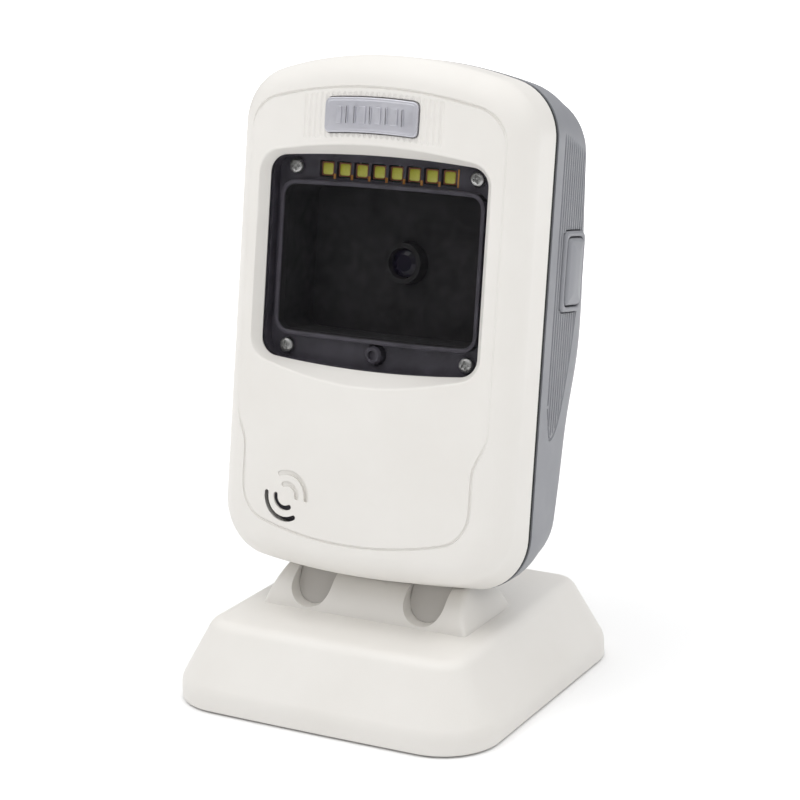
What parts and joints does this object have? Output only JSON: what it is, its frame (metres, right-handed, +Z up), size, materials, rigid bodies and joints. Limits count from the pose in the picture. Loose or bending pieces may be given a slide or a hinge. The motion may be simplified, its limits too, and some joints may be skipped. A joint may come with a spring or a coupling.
{
  "type": "hands-free barcode scanner",
  "caption": "Presentation barcode scanner: a reading head with a dark window and a side button, tilting on the round saddle of a weighted stand.",
  "frame": {"origin": "on the table under the middle of the stand", "axes": "+Z up, +X to the right of someone facing the window, the window faces -Y and leans back"},
  "size_m": [0.085, 0.0866, 0.1544],
  "materials": {
    "shell_white": "fine satin moulded ABS, warm white",
    "shell_grey": "fine satin moulded ABS, mid grey",
    "seal_black": "matt black elastomer bead",
    "inner_black": "black glass-filled moulding",
    "pane": "smoke-tinted polished acrylic",
    "lens": "coated lens",
    "silver_trim": "satin silver with raised bars",
    "steel": "plain zinc-plated steel",
    "rubber_dark": "matt rubber",
    "phosphor": "yellow-green phosphor under clear resin",
    "circuit_board": "green solder mask",
    "flex_film": "amber polyimide film"
  },
  "bodies": {
    "stand": {"base_shell": "shell_white", "base_floor": "shell_white", "ballast_plate": "steel", "pivot_pin": "steel", "wave_washer_1": "steel", "wave_washer_2": "steel", "foot_1": "rubber_dark", "foot_2": "rubber_dark", "foot_3": "rubber_dark", "foot_4": "rubber_dark", "base_screw_1": "steel", "base_screw_2": "steel", "base_screw_3": "steel", "base_screw_4": "steel"},
    "head": {"front_shell": "shell_white", "tilt_bracket": "shell_white", "rear_shell": "shell_grey", "button_frame": "shell_grey", "seal_ring": "seal_black", "optics_tray": "inner_black", "chassis": "inner_black", "proximity_sensor": "inner_black", "lens_barrel": "inner_black", "processor_chip": "inner_black", "beeper": "inner_black", "tact_switch": "inner_black", "window": "pane", "lens_glass": "lens", "name_plate": "silver_trim", "data_port": "steel", "bracket_screw_1": "steel", "bracket_screw_2": "steel", "tray_screw_1": "steel", "tray_screw_2": "steel", "tray_screw_3": "steel", "tray_screw_4": "steel", "rear_screw_1": "steel", "rear_screw_2": "steel", "rear_screw_3": "steel", "rear_screw_4": "steel", "led_1": "phosphor", "led_2": "phosphor", "led_3": "phosphor", "led_4": "phosphor", "led_5": "phosphor", "led_6": "phosphor", "led_7": "phosphor", "led_8": "phosphor", "led_board": "circuit_board", "imager_board": "circuit_board", "main_board": "circuit_board", "port_board": "circuit_board", "switch_board": "circuit_board", "flex_cable": "flex_film"},
    "button": {"side_button": "shell_grey"}
  },
  "joints": [
    {"name": "head_tilt", "type": "hinge", "parent": "stand", "child": "head", "pos_m": [0, -0.0053, 0.0173], "axis": [1, 0, 0], "range_deg": [-16, 10]},
    {"name": "button_press", "type": "slide", "parent": "head", "child": "button", "axis": [-1, 0, 0], "range_m": [0, 0.0008], "stiffness_N_per_m": 1500}
  ]
}
